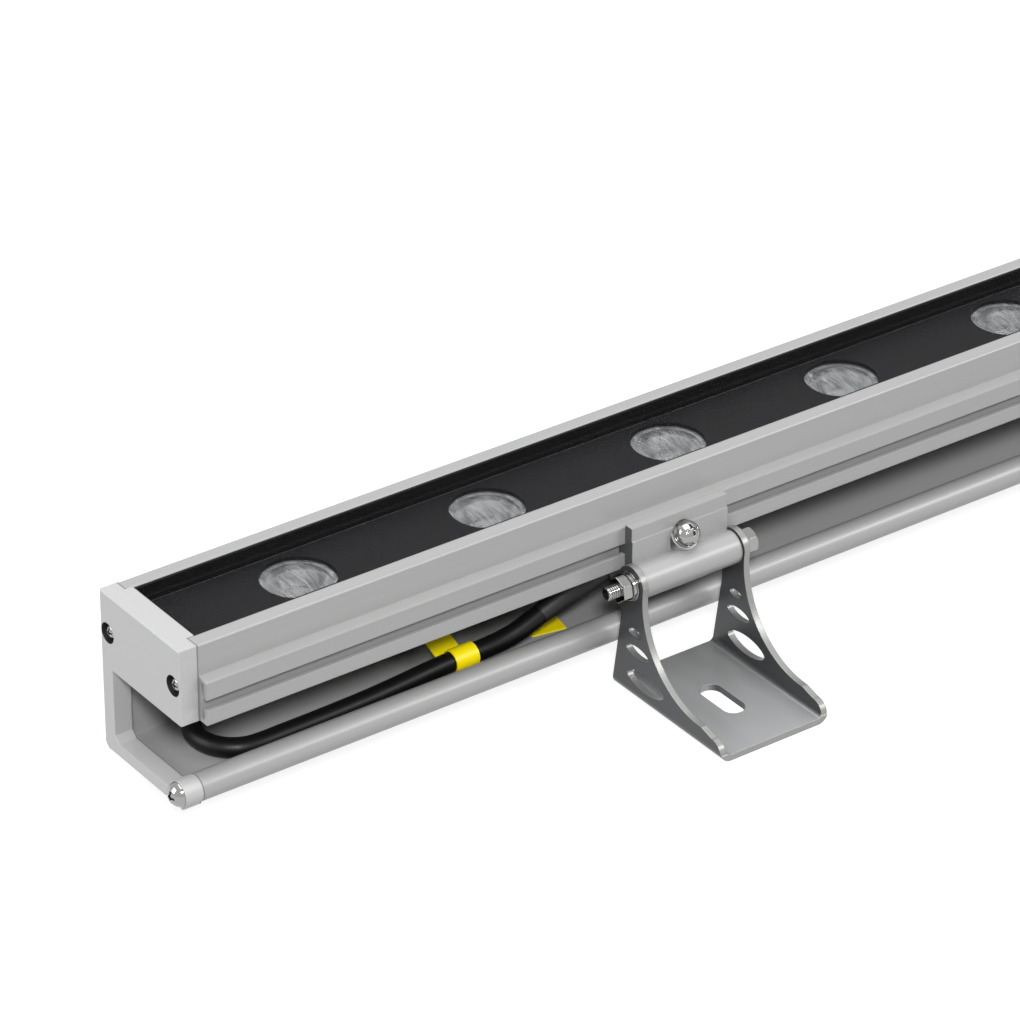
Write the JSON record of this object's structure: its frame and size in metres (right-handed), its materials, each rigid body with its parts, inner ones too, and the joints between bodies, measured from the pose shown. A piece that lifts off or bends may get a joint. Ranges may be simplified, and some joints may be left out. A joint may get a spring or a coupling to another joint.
{
  "type": "wall washer light",
  "caption": "Linear outdoor wall washer light: a row of lenses under glass in an aluminium profile with a cable channel, held by tilting wall brackets that slide along a rail.",
  "frame": {"origin": "on the wall face, midway between the centres of the fixing slots of the left and right bracket", "axes": "+X along the lamp to its right end as seen from the front, +Y from the brackets' fixing side towards the lamp's rear, +Z away from the wall, the way the glass faces"},
  "size_m": [1.0056, 0.0925, 0.0632],
  "materials": {
    "anodised_profile": "satin natural anodised extrusion",
    "cast_cap": "satin anodised",
    "anodised_clamp": "satin natural anodised extrusion",
    "bracket_steel": "satin stainless sheet",
    "stainless": "polished stainless",
    "cover_glass": "clear toughened",
    "lens_acrylic": "clear acrylic with a frosted foot",
    "black_mask": "matt black",
    "black_rubber": "matt",
    "black_plastic": "fine texture",
    "black_sheath": "satin sheath",
    "white_board": "white solder mask",
    "grey_pad": "soft thermal pad",
    "emitter": "phosphor under silicone",
    "brass_pin": "bright",
    "yellow_marker": "plain film"
  },
  "bodies": {
    "bracket_left": {"bracket_left": "bracket_steel", "pivot_bolt_left": "stainless", "pivot_nut_left": "stainless", "pivot_washers_left": "stainless", "spring_washer_left": "stainless"},
    "clamp_left": {"clamp_left": "anodised_clamp", "clamp_screw_left": "stainless", "clamp_washer_left": "stainless", "clamp_spring_washer_left": "stainless"},
    "lamp": {"housing_profile": "anodised_profile", "end_cap_left": "cast_cap", "end_cap_right": "cast_cap", "end_gasket_left": "black_rubber", "end_gasket_right": "black_rubber", "cap_side_screws": "stainless", "cap_lower_screws": "stainless", "cover_glass": "cover_glass", "glass_seal": "black_rubber", "lens_mask": "black_mask", "led_board": "white_board", "heat_pad": "grey_pad", "led_emitters": "emitter", "board_fixings": "stainless", "feed_wires": "black_sheath", "cable_outlet": "black_plastic", "strain_relief": "black_rubber", "blank_outlet": "black_plastic", "outlet_plug": "black_plastic", "input_lead": "black_sheath", "input_connector": "black_plastic", "connector_pins": "brass_pin", "marker_sleeve": "yellow_marker", "marker_flag": "yellow_marker", "lens_01": "lens_acrylic", "lens_02": "lens_acrylic", "lens_03": "lens_acrylic", "lens_04": "lens_acrylic", "lens_05": "lens_acrylic", "lens_06": "lens_acrylic", "lens_07": "lens_acrylic", "lens_08": "lens_acrylic", "lens_09": "lens_acrylic", "lens_10": "lens_acrylic", "lens_11": "lens_acrylic", "lens_12": "lens_acrylic", "lens_13": "lens_acrylic", "lens_14": "lens_acrylic", "lens_15": "lens_acrylic"},
    "clamp_right": {"clamp_right": "anodised_clamp", "clamp_screw_right": "stainless", "clamp_washer_right": "stainless", "clamp_spring_washer_right": "stainless"},
    "bracket_right": {"bracket_right": "bracket_steel", "pivot_bolt_right": "stainless", "pivot_nut_right": "stainless", "pivot_washers_right": "stainless", "spring_washer_right": "stainless"}
  },
  "joints": [
    {"name": "tilt", "type": "hinge", "parent": "bracket_left", "child": "clamp_left", "pos_m": [-0.3365, 0.0187, 0.0375], "axis": [1, 0, 0], "range_deg": [-4, 120]},
    {"name": "slide_left", "type": "slide", "parent": "clamp_left", "child": "lamp", "axis": [1, 0, 0], "range_m": [-0.25, 0.13]},
    {"name": "slide_right", "type": "slide", "parent": "lamp", "child": "clamp_right", "axis": [1, 0, 0], "range_m": [-0.25, 0.13]},
    {"name": "tilt_right", "type": "hinge", "parent": "clamp_right", "child": "bracket_right", "pos_m": [0.3365, 0.0187, 0.0375], "axis": [1, 0, 0], "range_deg": [-120, 4]}
  ],
  "couplings": [
    {"joint": "tilt_right", "follows": "tilt", "ratio": -1}
  ]
}
